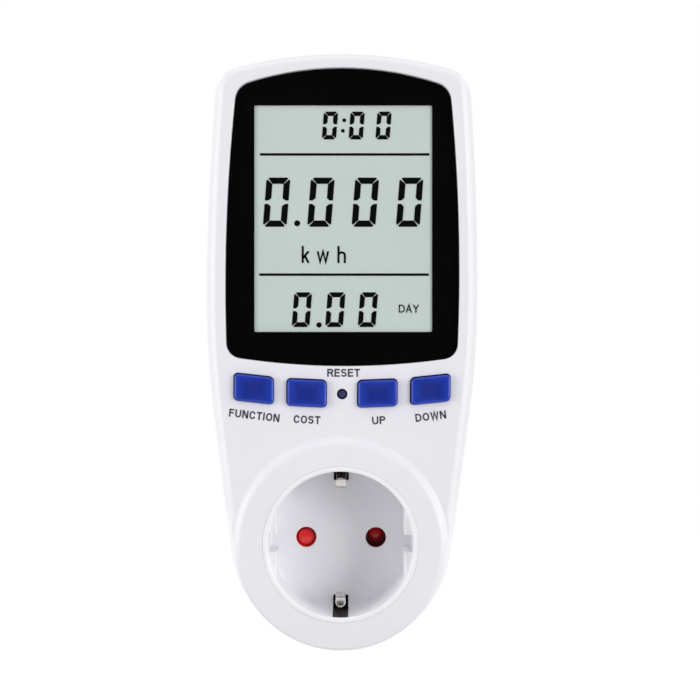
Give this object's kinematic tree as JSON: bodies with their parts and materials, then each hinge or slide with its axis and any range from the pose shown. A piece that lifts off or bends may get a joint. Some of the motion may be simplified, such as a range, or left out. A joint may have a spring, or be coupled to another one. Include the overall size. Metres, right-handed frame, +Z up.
{
  "type": "plug-in power meter",
  "caption": "Plug-in energy meter with a tall tapered white case, large dark-framed display, slanted keys, and a round earthed outlet in front of a two-pin earthed plug.",
  "frame": {"origin": "centre of the plug's end face, midway between its pins, on the common axis of the plug and the outlet", "axes": "+Y along the plug's pins into the wall socket, so the front faces -Y; +Z up along the case towards the display; +X to the right seen from the front"},
  "size_m": [0.0738, 0.0781, 0.1614],
  "materials": {
    "white_shell": "satin white ABS, fine moulded surface",
    "outlet_plastic": "satin white polyamide",
    "window": "polished acrylic, black printed border round a clear opening",
    "lcd": "grey-green reflective display glass",
    "key_plastic": "satin blue ABS",
    "shutter_plastic": "glossy red acetal",
    "nickel": "bright nickel plate on brass",
    "brass": "bright rolled brass",
    "steel": "zinc-plated steel",
    "copper": "bare copper alloy",
    "black_plastic": "matt black moulded plastic",
    "holder_plastic": "matt off-white plastic",
    "rubber": "matt silicone rubber",
    "board": "green solder mask on glass-epoxy laminate",
    "film_yellow": "glossy moulded box",
    "can_sleeve": "shrink sleeve",
    "disc_blue": "epoxy-dipped ceramic disc",
    "battery_wrap": "green shrink wrap",
    "cable_grey": "grey flexible cable jacket",
    "live_insulation": "brown PVC insulation",
    "label_film": "silver-grey polyester label, blank"
  },
  "bodies": {
    "housing": {"front_cover": "white_shell", "rear_cover": "white_shell", "rating_label": "label_film", "display_window": "window", "lcd_glass": "lcd", "lcd_holder": "holder_plastic", "zebra_strip": "rubber", "display_board": "board", "controller_blob": "black_plastic", "reset_switch": "black_plastic", "socket_insert": "outlet_plastic", "shutter_spring": "steel", "contact_carrier": "black_plastic", "neutral_contact": "brass", "live_contact": "brass", "upper_earth_clip": "nickel", "lower_earth_clip": "nickel", "upper_plug_earth": "nickel", "lower_plug_earth": "nickel", "earth_bridge": "brass", "neutral_pin": "nickel", "live_pin": "nickel", "pin_holder": "holder_plastic", "neutral_strap": "copper", "live_wire_in": "live_insulation", "live_wire_out": "live_insulation", "power_board": "board", "film_capacitor": "film_yellow", "electrolytic_capacitor": "can_sleeve", "varistor": "disc_blue", "shunt_resistor": "copper", "metering_chip": "black_plastic", "crystal_can": "steel", "backup_battery": "battery_wrap", "ribbon_cable": "cable_grey", "function_switch": "black_plastic", "cost_switch": "black_plastic", "up_switch": "black_plastic", "down_switch": "black_plastic", "case_screw_upper_left": "steel", "case_screw_upper_right": "steel", "case_screw_lower_left": "steel", "case_screw_lower_right": "steel", "board_screw_left": "steel", "board_screw_right": "steel", "carrier_screw_upper": "steel", "carrier_screw_lower": "steel"},
    "function_button": {"function_key": "key_plastic", "function_plunger": "holder_plastic"},
    "cost_button": {"cost_key": "key_plastic", "cost_plunger": "holder_plastic"},
    "up_button": {"up_key": "key_plastic", "up_plunger": "holder_plastic"},
    "down_button": {"down_key": "key_plastic", "down_plunger": "holder_plastic"},
    "reset_button": {"reset_key": "key_plastic", "reset_plunger": "holder_plastic"},
    "shutter": {"shutter": "shutter_plastic"}
  },
  "joints": [
    {"name": "function_press", "type": "slide", "parent": "housing", "child": "function_button", "axis": [0, 1, 0], "range_m": [0, 0.0008], "stiffness_N_per_m": 1500, "springref_m": -0.0003},
    {"name": "cost_press", "type": "slide", "parent": "housing", "child": "cost_button", "axis": [0, 1, 0], "range_m": [0, 0.0008], "stiffness_N_per_m": 1500, "springref_m": -0.0003},
    {"name": "up_press", "type": "slide", "parent": "housing", "child": "up_button", "axis": [0, 1, 0], "range_m": [0, 0.0008], "stiffness_N_per_m": 1500, "springref_m": -0.0003},
    {"name": "down_press", "type": "slide", "parent": "housing", "child": "down_button", "axis": [0, 1, 0], "range_m": [0, 0.0008], "stiffness_N_per_m": 1500, "springref_m": -0.0003},
    {"name": "reset_press", "type": "slide", "parent": "housing", "child": "reset_button", "axis": [0, 1, 0], "range_m": [0, 0.0006], "stiffness_N_per_m": 1500, "springref_m": -0.0003},
    {"name": "shutter_turn", "type": "hinge", "parent": "housing", "child": "shutter", "pos_m": [0, -0.0372, 0], "axis": [0, -1, 0], "range_deg": [0, 40], "stiffness_Nm_per_rad": 0.005, "springref_deg": -17.19}
  ]
}
